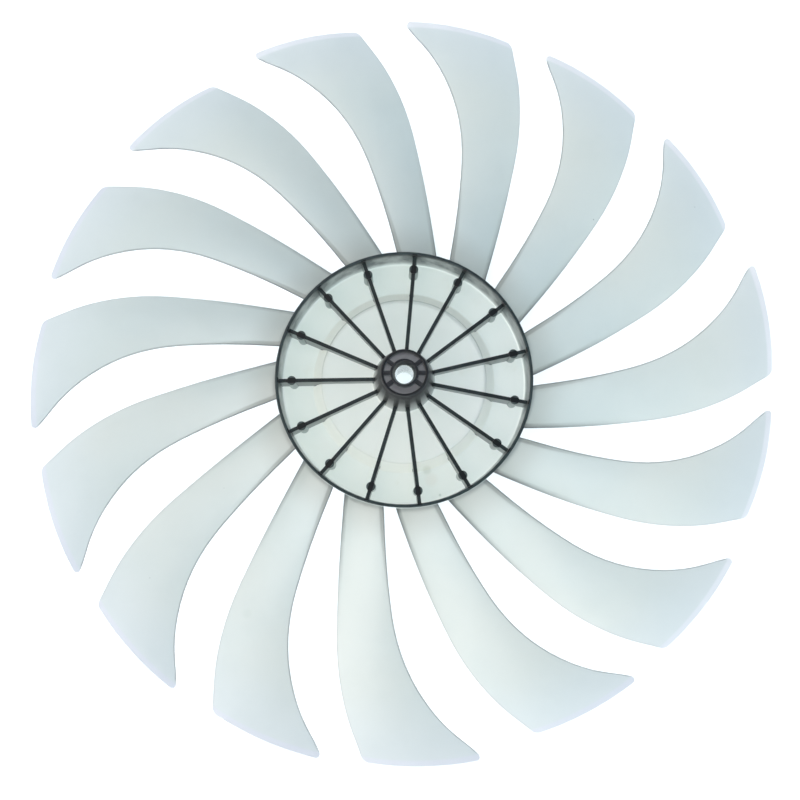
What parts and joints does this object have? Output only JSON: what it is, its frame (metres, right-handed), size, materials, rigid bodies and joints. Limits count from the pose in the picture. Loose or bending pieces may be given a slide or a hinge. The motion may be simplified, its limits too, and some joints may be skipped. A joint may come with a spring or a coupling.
{
  "type": "fan blade",
  "caption": "One-piece moulded axial fan wheel: forward-swept curved blades around a ribbed, open-backed hub drum with a plain round shaft bore.",
  "frame": {"origin": "on the axis of the shaft bore, in the plane of the hub drum's rear rim", "axes": "+Z along the wheel axis, out of the open rear side of the hub; +X along the straight web across the central boss; the front face points to -Z"},
  "size_m": [0.3455, 0.3459, 0.0326],
  "materials": {
    "tinted_plastic": "glossy see-through plastic with a smoky grey-green tint, pale through the thin skins and near black along the ribs and the rim, where the light runs the depth of the wall; dull with fine dust and scuffs"
  },
  "bodies": {
    "root": {"fan_wheel": "tinted_plastic"}
  },
  "joints": []
}
